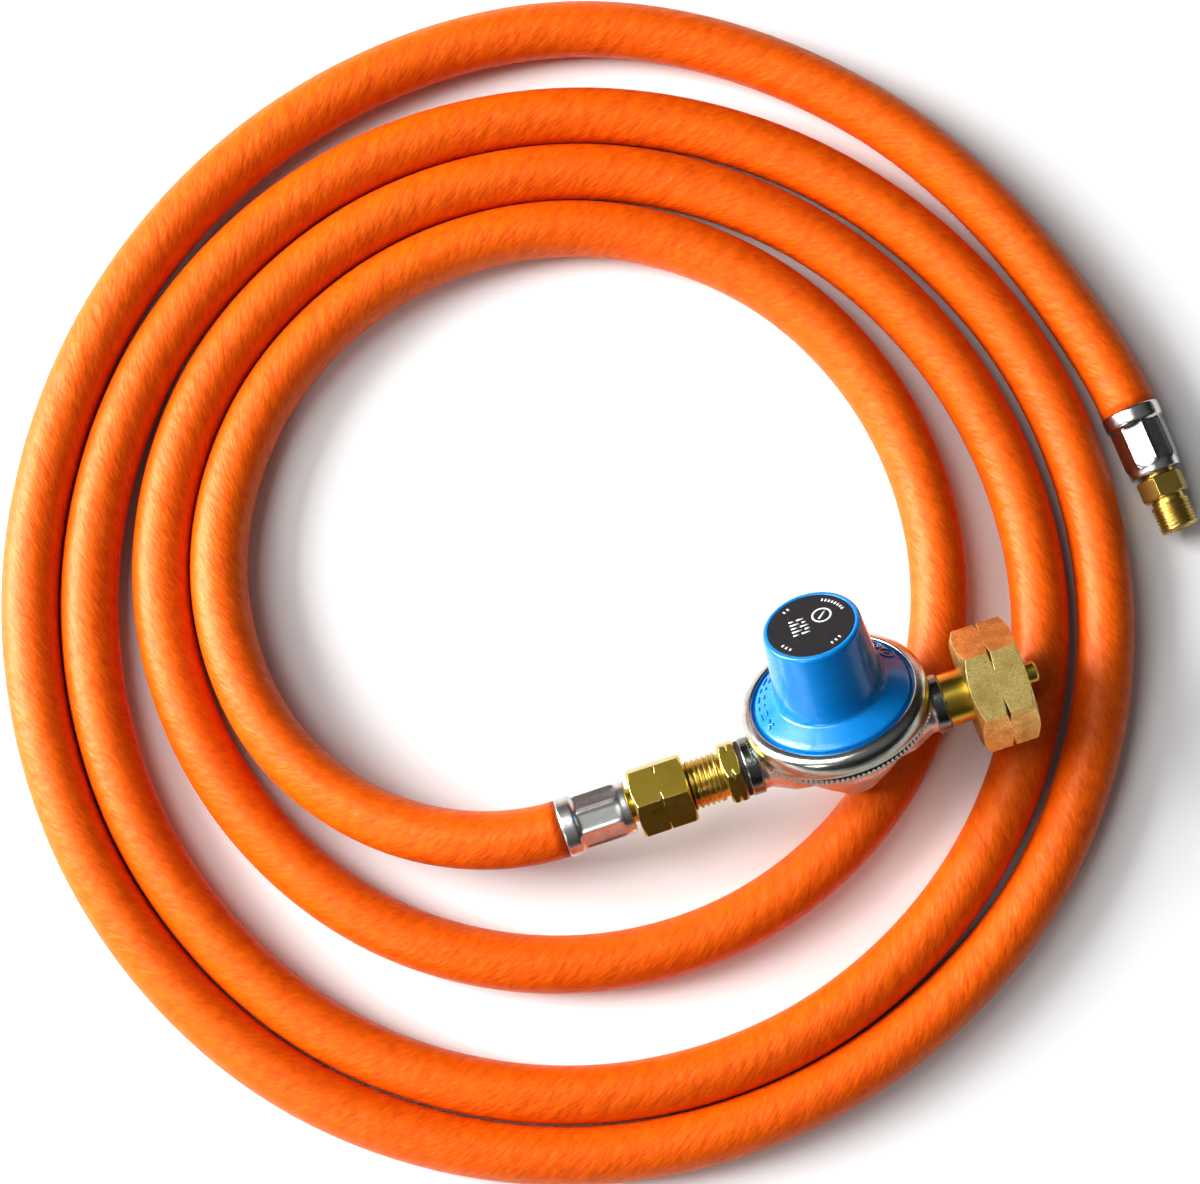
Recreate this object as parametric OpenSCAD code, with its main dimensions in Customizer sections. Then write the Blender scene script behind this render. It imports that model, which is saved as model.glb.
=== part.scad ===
// Gas regulator with a coiled rubber hose, lying on a level surface.
// Millimetres, +Z up, surface at Z = 0. The origin is on the surface, right below the centre of the
// regulator, and +X points the way the inlet points. The regulator has a frame of its own: x runs
// along its in-out axis towards the inlet, and z up the spring tower.

/* [Resting pose] */
// Height of the regulator's centre above the surface
centre_h = 28.2; // [27.5:0.1:34]
// How far the in-out axis rises towards the inlet, in degrees
rise = 5; // [3:0.5:7]
// How far the spring tower leans over, in degrees
lean = 43; // [36:1:48]

/* [Hose] */
// Outer diameter of the hose
hose_d = 16; // [12:0.5:16]
// Inner diameter of the hose
hose_bore = 8; // [5:0.5:9]
// Wall that is left where a ferrule squeezes the hose
hose_squeezed_wall = 2.4; // [2:0.1:2.4]

/* [Ferrules] */
// Length of a ferrule
ferrule_len = 19.5; // [17:0.5:24]
// Diameter of the plain collar at the hose end
collar_d = 16.8; // [16.2:0.1:19]
// Length of that collar
collar_len = 5; // [3:0.5:7]
// Width of the crimped part across its flats
crimp_af = 14.4; // [14:0.1:16]
// Length of the round rim at the fitting end
ferrule_rim_len = 2; // [1:0.5:3]
// Thickness of the inward lip at the fitting end
ferrule_lip = 1.2; // [0.8:0.1:2]
// Sides of the crimped part
crimp_sides = 8; // [6:1:12]

/* [Regulator casing] */
// Outer diameter of the rolled band
band_d = 51.5; // [50:0.5:64]
// Thickness of the band's sheet
band_t = 0.8; // [0.5:0.1:1.2]
// Height of the sealing face above the in-out axis
seal_face_h = 12; // [11.5:0.1:15]
// Thickness of the body's flange
body_flange_t = 4.4; // [3:0.1:5]
// Depth of the body's bowl below the in-out axis
bowl_depth = 9.4; // [9.2:0.1:12]
// Diameter of the inlet and outlet bosses
boss_d = 16.2; // [15:0.1:20]
// How far each boss reaches past the band
boss_past_band = 2.75; // [2.25:0.25:8]
// Length of the plain collar at each boss's end
boss_collar_len = 4; // [2:0.5:5]
// Diameter of the round foot under the bowl
foot_d = 15.2; // [10:0.1:16]
// Depth of the foot's end below the in-out axis
foot_depth = 15.4; // [12:0.1:15.6]

/* [Cover] */
// Height of the tower's top above the in-out axis
tower_top_h = 41.5; // [39:0.5:50]
// Diameter of the tower at its foot
tower_foot_d = 30.4; // [29:0.1:33]
// Diameter of the tower at its top
tower_top_d = 26.6; // [25.4:0.1:28]
// Height that the sloping flange climbs
cone_rise = 4.6; // [3:0.1:6]
// Diameter of the label disc
label_d = 23.4; // [20:0.1:23.6]
// Thickness of the label disc
label_t = 0.5; // [0.3:0.1:1]

/* [Diaphragm and spring] */
// Thickness of the rubber diaphragm
diaphragm_t = 1.2; // [0.8:0.1:1.6]
// Travel of the diaphragm, from open to shut
diaphragm_travel = 1.2; // [0.6:0.1:1.2]
// Wire diameter of the main spring
spring_wire_d = 1.8; // [1:0.1:2]
// Mean diameter of the main spring
spring_mean_d = 17.2; // [17:0.1:18]
// Turns of the main spring
spring_turns = 6; // [4:1:7]
// Diameter of the diaphragm's pressure plate
plate_d = 25; // [23:0.5:26]
// Diameter of the stem under the diaphragm
stem_d = 5.6; // [5:0.1:5.8]
// Diameter of the adjusting screw
screw_d = 17.9; // [17:0.1:19]

/* [Valve] */
// Distance from the tower's axis to the lever's pin
lever_long = 6.6; // [6.4:0.1:7]
// Distance from the lever's pin up to the valve's axis
lever_short = 5; // [4.9:0.1:5.2]
// Diameter of the lever's pin
pin_d = 2; // [1.5:0.1:2.2]
// Width of the lever
lever_w = 2.4; // [1.6:0.1:2.4]
// Diameter of the valve holder
holder_d = 5.4; // [5:0.1:5.6]
// Bore of the orifice nozzle
orifice_d = 1.6; // [1:0.1:2.4]

/* [Inlet] */
// Width across the flats of the inlet nut
inlet_nut_af = 30; // [27:0.5:32]
// Length of the inlet nut
inlet_nut_len = 16; // [14:0.5:20]
// Outer diameter of the cylinder valve's thread that the nut takes
inlet_thread_d = 21.8; // [20.8:0.1:22]
// Diameter of the stem that the nut turns on
inlet_neck_d = 14.8; // [14:0.1:16]
// Bare length of that stem between the boss and the nut
inlet_neck_gap = 6.5; // [5:0.5:10]
// Reach of the nose past the nut's mouth
nose_reach = 4; // [2:0.5:6]
// Diameter of the nose's tip
nose_tip_d = 6.2; // [5.6:0.1:7]

/* [Outlet] */
// Width across the flats of the outlet adapter
adapter_af = 16; // [16:0.5:19]
// Length of the adapter's hexagon
adapter_hex_len = 5; // [4:0.5:8]
// Diameter of the adapter's outer thread
adapter_thread_d = 14; // [13.6:0.1:14.6]
// Bare thread between the hexagon and the hose nut
adapter_bare_len = 10; // [6:0.5:12]
// Thread length inside the hose nut
adapter_engaged_len = 8.5; // [7:0.5:9]
// Thickness of the sealing washer
washer_t = 1; // [0.6:0.1:1.5]
// Width across the flats of the hose nut
hose_nut_af = 18; // [17.5:0.5:22]
// Length of the hose nut
hose_nut_len = 15.5; // [15:0.5:19]
// Diameter of the hose tail's neck
tail_neck_d = 9.6; // [9:0.1:10]

/* [End fitting] */
// Width across the flats of the end fitting
end_af = 12; // [11:0.5:16]
// Length of its hexagon
end_hex_len = 6.5; // [5:0.5:9]
// Diameter of its outer thread
end_thread_d = 11; // [10.5:0.1:11.8]
// Length of its outer thread
end_thread_len = 8; // [6:0.5:12]

/* [Hidden] */
$fn = 96;

// Clearances
turning_gap = 0.08;   // radial, between a nut and the neck it turns on
thread_gap = 0.07;    // radial, between two threads in mesh
slide_gap = 0.06;     // each side of a sliding piece
loose_gap = 0.15;     // each side of the lever
axial_gap = 0.2;      // between a nut's lip and the collar that holds it
cut = 1;              // how far a cutting shape runs past a face

// Regulator casing
band_r = band_d / 2;
boss_reach = band_r + boss_past_band;
flange_r = band_r - band_t - 0.1;
flange_under_h = seal_face_h - body_flange_t;
cover_face_h = seal_face_h + diaphragm_t;
cover_flange_t = 1.6;
band_top_h = cover_face_h + cover_flange_t + band_t;
band_low_h = flange_under_h - band_t - 0.3;
band_lip_r = band_r - 3.4;
band_curl_r = band_r - 2.2;
shoulder = 1.4;       // chamfer inside the band's top bend
chamber_r = band_lip_r - 3.9;
chamber_floor_h = 5.2;
well_r = 11.8;
well_floor_h = -7.8;
boss_neck_d = boss_d - 1.6;
port_r = 5;           // core of both bosses' threads
port_depth = 9;
passage_r = 4;
cheek_in = holder_d / 2 + slide_gap;
cheek_out = 4.8;
ear_in = lever_w / 2 + loose_gap;

// Cover
cone_foot_r = band_lip_r - 0.4;
cone_foot_h = cover_face_h + cover_flange_t + 0.1;
cone_top_r = tower_foot_d / 2 + 0.9;
cone_top_h = cone_foot_h + cone_rise - 0.9;
tower_foot_h = cone_foot_h + cone_rise;
label_recess = label_t + 0.1;
label_seat_h = tower_top_h - label_recess;
spring_room_r = spring_mean_d / 2 + spring_wire_d / 2 + 1.5;
screw_t = 5;
screw_top_h = label_seat_h - 2.4;
screw_low_h = screw_top_h - screw_t;
guide_len = 3;

// Diaphragm set
plate_t = 1;
plate_low_h = seal_face_h + 0.9;
plate_top_h = plate_low_h + plate_t;
plate_rim_h = plate_top_h + 1.6;
diaphragm_web_t = 0.9;
convolution_in = 13.2;
convolution_out = chamber_r - 1.1;
convolution_drop = 1.3;
washer_under_t = 0.8;
stem_head_d = 9.2;
stem_head_t = 1.5;
stem_shoulder_d = 8;
stem_shoulder_t = 1.4;
arm_t = 1.2;
slot_h = 2.6;
stem_low_h = -lever_short - slot_h / 2 - 1.1;

// Lever and valve
hub_d = 3.8;
arm_reach = 1.6;
holder_len = 7;
holder_front = lever_long + 3.6;
pad_d = 4.2;
pad_t = 1.2;
valve_travel = diaphragm_travel * lever_short / lever_long;
nozzle_front = holder_front + valve_travel;
holder_slot = 2.5;

// Inlet, as stations along the in-out axis
inlet_nut_in = boss_reach + inlet_neck_gap;
inlet_nut_out = inlet_nut_in + inlet_nut_len;
inlet_lip_t = 3;
inlet_lip_end = inlet_nut_in + inlet_lip_t;
inlet_collar_in = inlet_lip_end + axial_gap;
inlet_collar_out = inlet_collar_in + 2.8;
inlet_collar_r = 9.4;
inlet_bore_r = inlet_thread_d / 2 - 0.7;
nose_r = 5.7;
nose_cone_in = inlet_collar_out + 6;
nose_cone_out = nose_cone_in + 3.5;
nose_end = inlet_nut_out + nose_reach;
stem_bore_r = 2.8;
nose_bore_r = 1.5;
seal_t = 2.4;
seal_r = 9.2;
filter_len = 10;
filter_wall = 0.9;

// Outlet, as stations along the in-out axis, all negative
washer_end = -boss_reach - washer_t;
adapter_hex_end = washer_end - adapter_hex_len;
hose_nut_in = adapter_hex_end - adapter_bare_len;
hose_nut_out = hose_nut_in - hose_nut_len;
hose_lip_t = 3;
hose_lip_end = hose_nut_out + hose_lip_t;
adapter_end = hose_nut_in - adapter_engaged_len;
adapter_bore_r = 3.8;
seat_r = 6;
adapter_spigot_r = port_r;
tail_bore_r = 3;
tail_collar_out = hose_lip_end + axial_gap / 2;
tail_nose_r = 6.6;
tail_nose_start = adapter_end - (tail_nose_r - seat_r);
tail_nose_tip_r = 3.9;
tail_nose_end = tail_nose_start + tail_nose_r - tail_nose_tip_r;
tail_gap = 1.5;       // bare neck between the ferrule and the hose nut
nut_turn = lean + 10; // puts a corner of both outlet hexagons 10 degrees off upright
ferrule_in = hose_nut_out - tail_gap;
ferrule_out = ferrule_in - ferrule_len;
squeezed_r = hose_bore / 2 + hose_squeezed_wall;

// End fitting, measured from the hose end of its ferrule
end_hex_start = ferrule_len + 1;
end_hex_end = end_hex_start + end_hex_len;
end_hex_turn = 25;
end_relief_len = 1.6;
end_relief_d = end_thread_d - 1.6;
end_thread_start = end_hex_end + end_relief_len;
end_tip = end_thread_start + end_thread_len;

// The hose's route. Each point is an angle and a radius about the coil's centre, and a height.
// It leaves the regulator's ferrule, comes down to the surface, and winds outwards clockwise.
coil_centre = [-58, 61];
coil_zero = -18.2;    // direction of angle 0, in degrees from +X
on_floor = hose_d / 2;
first_angle = 240;
angle_step = 30;
falling = [[77, 18.4], [89.5, 13.8], [97.5, 10.4], [102, 8.6]];
first_turn = [104.5, 106, 105.5, 104, 103, 102, 101, 101.5];
second_turn = [104.5, 108.5, 114, 118.5, 121, 122.5, 124, 126.5, 131, 134, 136, 137];
third_turn = [137, 135, 134, 135.5, 137.5, 139, 141.5, 145.5, 149.5, 152, 152.5, 153.5];
last_turn = [153.5, 151.5, 150.5, 152.5, 158, 164.5, 164, 164];
end_angle = -1061;
end_radius = 166.5;
end_heading = -86;    // the way the end fitting points, in degrees from +X
end_height = collar_d / 2;

radii = concat([for (p = falling) p[0]], first_turn, second_turn, third_turn, last_turn);
function height_at(k) = k < len(falling) ? falling[k][1] : on_floor;
function polar_point(angle, radius, height) = [
    coil_centre[0] + radius * cos(angle + coil_zero),
    coil_centre[1] + radius * sin(angle + coil_zero),
    height
];
exit_point = [ferrule_out * cos(rise), 0, centre_h + ferrule_out * sin(rise)];
exit_way = [-cos(rise), 0, -sin(rise)];
end_point = polar_point(end_angle, end_radius, end_height);
end_way = [cos(end_heading), sin(end_heading), 0];
route = concat(
    [exit_point],
    [for (k = [0 : len(radii) - 1])
        polar_point(first_angle - angle_step * k, radii[k], height_at(k))],
    [end_point]
);
last = len(route) - 1;

// A smooth curve through the route's points, which turns least where it turns at all
function unit(v) = v / norm(v);
function way(i) =
    i == 0 ? exit_way
    : i == last ? end_way
    : let (before = route[i] - route[i - 1], after = route[i + 1] - route[i])
        unit(before * norm(after) / norm(before) + after * norm(before) / norm(after));
function on_surface(p) = [p[0], p[1], max(p[2], on_floor)];
function on_route(u) =
    let (
        i = min(floor(u), last - 1),
        t = u - i,
        span = norm(route[i + 1] - route[i])
    )
    on_surface(
        (1 + 2 * t) * pow(1 - t, 2) * route[i]
        + t * pow(1 - t, 2) * span * way(i)
        + t * t * (3 - 2 * t) * route[i + 1]
        + t * t * (t - 1) * span * way(i + 1)
    );
nudge = 0.01;
function heading(u) =
    u <= 0 ? exit_way
    : u >= last ? end_way
    : unit(on_route(u + nudge) - on_route(u - nudge));

ring_step = 0.6;      // 18 degrees of the coil, so that neighbouring turns have rings side by side
ring_sides = 12;
ring_places = concat([0, 0.5], [for (u = [1 : ring_step : last - ring_step]) u], [last]);

function ring(u) =
    let (
        centre = on_route(u),
        ahead = heading(u),
        side = unit(cross(ahead, [0, 0, 1])),
        up = cross(side, ahead)
    )
    [for (k = [0 : ring_sides - 1])
        centre + on_floor * (cos(360 * k / ring_sides) * side + sin(360 * k / ring_sides) * up)];

module hose() {
    points = [for (u = ring_places) each ring(u)];
    rings = len(ring_places);
    walls = [for (j = [0 : rings - 2], k = [0 : ring_sides - 1])
        let (next = (k + 1) % ring_sides)
        [j * ring_sides + next, j * ring_sides + k,
         (j + 1) * ring_sides + k, (j + 1) * ring_sides + next]];
    start = [for (k = [0 : ring_sides - 1]) k];
    end = [for (k = [ring_sides - 1 : -1 : 0]) (rings - 1) * ring_sides + k];
    color("darkorange") polyhedron(points, concat([start], walls, [end]), convexity = 10);
}

// Helpers
module at_regulator() {
    translate([0, 0, centre_h]) rotate([0, -rise, 0]) rotate([-lean, 0, 0]) children();
}
module at_end() {
    translate(end_point) rotate([0, 0, end_heading]) children();
}
// Turns a profile of [radius, station] points about the x axis
module turned_on_x(profile) {
    rotate([0, 90, 0]) rotate_extrude() polygon(profile);
}
// A rod along x between two stations
module rod_on_x(from, to, r) {
    translate([from, 0, 0]) rotate([0, 90, 0]) cylinder(h = to - from, r = r);
}
// A hexagon along x between two stations, with chamfered corners and a V cut in each corner.
// The corners lie at `turn` degrees from the z axis.
module hexagon_on_x(from, to, af, turn, v_cut) {
    corner_r = af / sqrt(3);
    face_r = af / 2 - 0.1;
    outside_r = corner_r + cut;
    chamfer = (outside_r - face_r) * tan(30);
    middle = (from + to) / 2;
    difference() {
        intersection() {
            translate([from, 0, 0]) rotate([turn, 0, 0]) rotate([0, 90, 0])
                cylinder(h = to - from, r = corner_r, $fn = 6);
            turned_on_x([[0, from], [face_r, from], [outside_r, from + chamfer],
                         [outside_r, to - chamfer], [face_r, to], [0, to]]);
        }
        if (v_cut > 0) turned_on_x([
            [af / 2 + 0.35, middle], [outside_r + cut, middle - v_cut],
            [outside_r + cut, middle + v_cut]
        ]);
    }
}

// Regulator casing
module body_casting() {
    color("silver") at_regulator() difference() {
        union() {
            rotate_extrude() polygon([
                [0, seal_face_h], [flange_r, seal_face_h], [flange_r, flange_under_h + 0.4],
                [flange_r - 0.4, flange_under_h], [band_curl_r - 1.4, flange_under_h],
                [band_curl_r - 1.6, band_low_h - 0.2], [chamber_r + 2.4, band_low_h - 3],
                [well_r + 6.8, -1], [well_r + 3.6, -5.6], [well_r + 0.9, 0.2 - bowl_depth],
                [0, -bowl_depth]
            ]);
            translate([0, 0, -foot_depth]) cylinder(h = foot_depth, d = foot_d);
            difference() {
                for (side = [-1, 1]) boss(side);
                band_room();
            }
        }
        translate([0, 0, chamber_floor_h]) cylinder(h = seal_face_h, r = chamber_r);
        difference() {
            translate([0, 0, well_floor_h]) cylinder(h = seal_face_h - well_floor_h, r = well_r);
            for (side = [-1, 1]) cheek(side);
        }
        rod_on_x(0, boss_reach, passage_r);
        rod_on_x(boss_reach - port_depth, boss_reach + cut, port_r);
        rod_on_x(-boss_reach, 0, passage_r);
        rod_on_x(-boss_reach - cut, port_depth - boss_reach, port_r);
    }
}
// One boss: a neck that flares into the bowl, with a plain collar at its end
module boss(side) {
    neck_end = boss_reach - boss_collar_len;
    rotate([0, 0, side > 0 ? 0 : 180]) turned_on_x([
        [0, 0], [boss_d / 2 + 3, 10], [boss_d / 2 + 2, 17], [boss_neck_d / 2, neck_end - 1.5],
        [boss_neck_d / 2, neck_end], [boss_d / 2, neck_end + 0.4], [boss_d / 2, boss_reach - 0.4],
        [boss_d / 2 - 0.4, boss_reach], [0, boss_reach]
    ]);
}
// The room that the bosses leave for the band's lower edge
module band_room() {
    rotate_extrude() polygon([
        [band_curl_r - 0.2, band_low_h - 0.1], [band_r + 0.1, band_low_h - 0.1],
        [band_r + 0.1, seal_face_h], [band_curl_r - 0.2, seal_face_h]
    ]);
}
// One of the two cheeks that guide the valve holder and carry the lever's pin
module cheek(side) {
    mirror([0, side > 0 ? 0 : 1, 0]) difference() {
        union() {
            translate([lever_long - 3, cheek_in, well_floor_h - cut])
                cube([6, cheek_out - cheek_in, 2 - well_floor_h + cut]);
            translate([lever_long - 2, ear_in, well_floor_h - cut])
                cube([4, cheek_out - ear_in, -holder_d / 2 - 0.3 - well_floor_h + cut]);
        }
        translate([lever_long, 0, -lever_short]) rotate([-90, 0, 0])
            cylinder(h = cheek_out + cut, d = pin_d);
    }
}

module clamp_ring() {
    bend_h = band_top_h - shoulder - band_t;
    color("gainsboro") at_regulator() rotate_extrude() polygon([
        [band_curl_r, band_low_h], [band_r - 0.7, band_low_h + 0.3], [band_r, band_low_h + 1.6],
        [band_r, bend_h], [band_r - 0.35, band_top_h - 1.3], [band_r - 1.2, band_top_h - 0.45],
        [band_r - 2.6, band_top_h], [band_lip_r, band_top_h], [band_lip_r, band_top_h - band_t],
        [flange_r - shoulder + 0.1, band_top_h - band_t], [flange_r + 0.1, bend_h],
        [flange_r + 0.1, flange_under_h + 0.3], [flange_r - 0.4, flange_under_h - 0.1],
        [band_curl_r, flange_under_h - 0.1]
    ]);
}

module cover() {
    color("dodgerblue") at_regulator() rotate_extrude() polygon([
        [chamber_r, cover_face_h], [flange_r, cover_face_h],
        [flange_r, cover_face_h + cover_flange_t - shoulder],
        [flange_r - shoulder, cover_face_h + cover_flange_t],
        [cone_foot_r, cover_face_h + cover_flange_t], [cone_foot_r - 0.2, cone_foot_h],
        [cone_top_r, cone_top_h], [cone_top_r - 0.6, cone_top_h + 0.3],
        [tower_foot_d / 2, tower_foot_h], [tower_top_d / 2, tower_top_h - 0.6],
        [tower_top_d / 2 - 0.5, tower_top_h], [label_d / 2 + 0.1, tower_top_h],
        [label_d / 2 + 0.1, label_seat_h], [screw_d / 2 + 0.05, label_seat_h],
        [screw_d / 2 + 0.05, screw_low_h - 0.3], [spring_room_r, screw_low_h - 0.3],
        [spring_room_r + 0.8, tower_foot_h], [spring_room_r + 2, tower_foot_h - 2.6]
    ]);
}

module label_disc() {
    color("black") at_regulator() translate([0, 0, label_seat_h])
        cylinder(h = label_t, d = label_d);
}

module adjusting_screw() {
    socket_af = 6;
    socket_depth = 3;
    guide_r = spring_mean_d / 2 - spring_wire_d / 2 - 0.4;
    color("khaki") at_regulator() difference() {
        rotate_extrude() polygon([
            [0, screw_low_h - guide_len], [guide_r, screw_low_h - guide_len],
            [guide_r, screw_low_h], [screw_d / 2, screw_low_h], [screw_d / 2, screw_top_h],
            [0, screw_top_h]
        ]);
        translate([0, 0, screw_top_h - socket_depth])
            cylinder(h = socket_depth + cut, r = socket_af / sqrt(3), $fn = 6);
    }
}

// Diaphragm set
module main_spring() {
    wire_r = spring_wire_d / 2;
    low = plate_top_h + wire_r + 0.05;
    high = screw_low_h - wire_r - 0.05;
    steps = spring_turns * 14;
    wire_sides = 8;
    points = [for (j = [0 : steps], k = [0 : wire_sides - 1])
        let (
            turn = 360 * spring_turns * j / steps,
            r = spring_mean_d / 2 + wire_r * cos(360 * k / wire_sides),
            h = low + (high - low) * j / steps + wire_r * sin(360 * k / wire_sides)
        )
        [r * cos(turn), r * sin(turn), h]];
    walls = [for (j = [0 : steps - 1], k = [0 : wire_sides - 1])
        let (next = (k + 1) % wire_sides)
        [j * wire_sides + k, (j + 1) * wire_sides + k,
         (j + 1) * wire_sides + next, j * wire_sides + next]];
    start = [for (k = [0 : wire_sides - 1]) k];
    end = [for (k = [wire_sides - 1 : -1 : 0]) steps * wire_sides + k];
    color("dimgray") at_regulator()
        polyhedron(points, concat([start], walls, [end]), convexity = 8);
}

module diaphragm() {
    low = seal_face_h;
    middle = (convolution_in + convolution_out) / 2;
    color("#333333") at_regulator() rotate_extrude() polygon([
        [stem_d / 2, low], [convolution_in, low], [middle, low - convolution_drop],
        [convolution_out, low], [flange_r, low], [flange_r, cover_face_h],
        [convolution_out, cover_face_h], [convolution_out - 0.6, low + diaphragm_web_t],
        [middle, low + diaphragm_web_t - convolution_drop],
        [convolution_in, low + diaphragm_web_t], [stem_d / 2, low + diaphragm_web_t]
    ]);
}

module diaphragm_plate() {
    color("lightsteelblue") at_regulator() rotate_extrude() polygon([
        [stem_d / 2, plate_low_h], [plate_d / 2, plate_low_h], [plate_d / 2, plate_rim_h],
        [plate_d / 2 - 0.8, plate_rim_h], [plate_d / 2 - 0.8, plate_top_h], [stem_d / 2, plate_top_h]
    ]);
}

module diaphragm_washer() {
    color("lightgray") at_regulator() translate([0, 0, seal_face_h - washer_under_t])
        difference() {
            cylinder(h = washer_under_t, d = plate_d - 5);
            translate([0, 0, -cut]) cylinder(h = washer_under_t + 2 * cut, d = stem_d);
        }
}

module diaphragm_stem() {
    shoulder_top = seal_face_h - washer_under_t;
    color("goldenrod") at_regulator() difference() {
        rotate_extrude() polygon([
            [0, stem_low_h], [stem_d / 2, stem_low_h],
            [stem_d / 2, shoulder_top - stem_shoulder_t],
            [stem_shoulder_d / 2, shoulder_top - stem_shoulder_t],
            [stem_shoulder_d / 2, shoulder_top], [stem_d / 2, shoulder_top],
            [stem_d / 2, plate_top_h], [stem_head_d / 2, plate_top_h],
            [stem_head_d / 2, plate_top_h + stem_head_t - 0.5],
            [stem_head_d / 2 - 0.8, plate_top_h + stem_head_t], [0, plate_top_h + stem_head_t]
        ]);
        translate([-stem_d, -ear_in, -lever_short - slot_h / 2])
            cube([2 * stem_d, 2 * ear_in, slot_h]);
    }
}

// Valve
module lever() {
    color("lightslategray") at_regulator() difference() {
        translate([0, lever_w / 2, 0]) rotate([90, 0, 0]) linear_extrude(lever_w) union() {
            translate([lever_long, -lever_short]) circle(d = hub_d);
            translate([-arm_reach, -lever_short - arm_t / 2])
                square([lever_long + arm_reach, arm_t]);
            translate([lever_long - arm_t / 2, -lever_short]) square([arm_t, lever_short]);
            translate([lever_long, 0]) circle(d = arm_t);
        }
        translate([lever_long, lever_w, -lever_short]) rotate([90, 0, 0])
            cylinder(h = 2 * lever_w, d = pin_d + 2 * slide_gap);
    }
}

module lever_pin() {
    pin_len = 2 * cheek_out - 0.4;
    color("darkgray") at_regulator() translate([lever_long, pin_len / 2, -lever_short])
        rotate([90, 0, 0]) cylinder(h = pin_len, d = pin_d);
}

module valve_holder() {
    back = holder_front - holder_len;
    color("gold") at_regulator() difference() {
        rod_on_x(back, holder_front, holder_d / 2);
        rod_on_x(holder_front - pad_t, holder_front + cut, pad_d / 2);
        translate([lever_long - holder_slot / 2, -ear_in, -holder_d])
            cube([holder_slot, 2 * ear_in, holder_d + 1.2]);
    }
}

module valve_pad() {
    color("#222222") at_regulator() rod_on_x(holder_front - pad_t, holder_front, pad_d / 2);
}

module orifice_nozzle() {
    root = boss_reach - port_depth;
    color("goldenrod") at_regulator() turned_on_x([
        [orifice_d / 2, nozzle_front], [1.5, nozzle_front], [1.9, nozzle_front + 0.6],
        [1.9, well_r + 0.6], [passage_r, well_r + 0.6], [passage_r, root], [2, root],
        [orifice_d / 2, root - 2]
    ]);
}

// Inlet
module inlet_stem() {
    root = boss_reach - port_depth + 0.5;
    color("goldenrod") at_regulator() turned_on_x([
        [stem_bore_r, root], [port_r, root], [port_r, boss_reach], [inlet_neck_d / 2, boss_reach],
        [inlet_neck_d / 2, inlet_collar_in], [inlet_collar_r, inlet_collar_in],
        [inlet_collar_r, inlet_collar_out], [nose_r, inlet_collar_out], [nose_r, nose_cone_in],
        [nose_tip_d / 2, nose_cone_out], [nose_tip_d / 2, nose_end - 0.6],
        [nose_tip_d / 2 - 0.6, nose_end], [nose_bore_r, nose_end], [nose_bore_r, nose_cone_in],
        [stem_bore_r, nose_cone_in - 1.3]
    ]);
}

module inlet_nut() {
    color("peru") at_regulator() difference() {
        hexagon_on_x(inlet_nut_in, inlet_nut_out, inlet_nut_af, 30 + lean + 4, 1.1);
        rod_on_x(inlet_nut_in - cut, inlet_nut_out, inlet_neck_d / 2 + turning_gap);
        rod_on_x(inlet_lip_end, inlet_nut_out + cut, inlet_bore_r);
    }
}

module inlet_seal() {
    color("#222222") at_regulator() difference() {
        rod_on_x(inlet_collar_out, inlet_collar_out + seal_t, seal_r);
        rod_on_x(inlet_collar_out - cut, inlet_collar_out + seal_t + cut, nose_r);
    }
}

module inlet_filter() {
    from = boss_reach - port_depth + 2;
    color("tan") at_regulator() difference() {
        rod_on_x(from, from + filter_len, stem_bore_r);
        rod_on_x(from - cut, from + filter_len - filter_wall, stem_bore_r - filter_wall);
    }
}

// Outlet
module outlet_washer() {
    color("firebrick") at_regulator() difference() {
        rod_on_x(washer_end, -boss_reach, boss_d / 2 - 0.4);
        rod_on_x(washer_end - cut, cut - boss_reach, adapter_spigot_r);
    }
}

module outlet_adapter() {
    root = port_depth - boss_reach - 0.5;
    color("gold") at_regulator() difference() {
        union() {
            rod_on_x(washer_end, root, adapter_spigot_r);
            hexagon_on_x(adapter_hex_end, washer_end, adapter_af, nut_turn, 0.8);
            turned_on_x([
                [0, adapter_end], [adapter_thread_d / 2 - 0.6, adapter_end],
                [adapter_thread_d / 2, adapter_end + 0.6], [adapter_thread_d / 2, adapter_hex_end],
                [0, adapter_hex_end]
            ]);
        }
        rod_on_x(adapter_end - cut, root + cut, adapter_bore_r);
        turned_on_x([
            [0, adapter_end - cut], [seat_r, adapter_end - cut], [seat_r, adapter_end],
            [adapter_bore_r, adapter_end + seat_r - adapter_bore_r],
            [0, adapter_end + seat_r - adapter_bore_r]
        ]);
    }
}

module hose_nut() {
    color("gold") at_regulator() difference() {
        hexagon_on_x(hose_nut_out, hose_nut_in, hose_nut_af, nut_turn, 1);
        rod_on_x(hose_nut_out - cut, hose_nut_in, tail_neck_d / 2 + turning_gap);
        rod_on_x(hose_lip_end, hose_nut_in + cut, adapter_thread_d / 2 + thread_gap);
    }
}

module hose_tail() {
    lip_start = ferrule_in - ferrule_lip;
    color("goldenrod") at_regulator() turned_on_x([
        [tail_bore_r, ferrule_out + 1], [hose_bore / 2 - 0.4, ferrule_out + 1],
        [hose_bore / 2, ferrule_out + 2], [hose_bore / 2, lip_start],
        [tail_neck_d / 2, lip_start], [tail_neck_d / 2, tail_collar_out],
        [tail_nose_r, tail_collar_out], [tail_nose_r, tail_nose_start],
        [tail_nose_tip_r, tail_nose_end], [tail_bore_r, tail_nose_end]
    ]);
}

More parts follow.
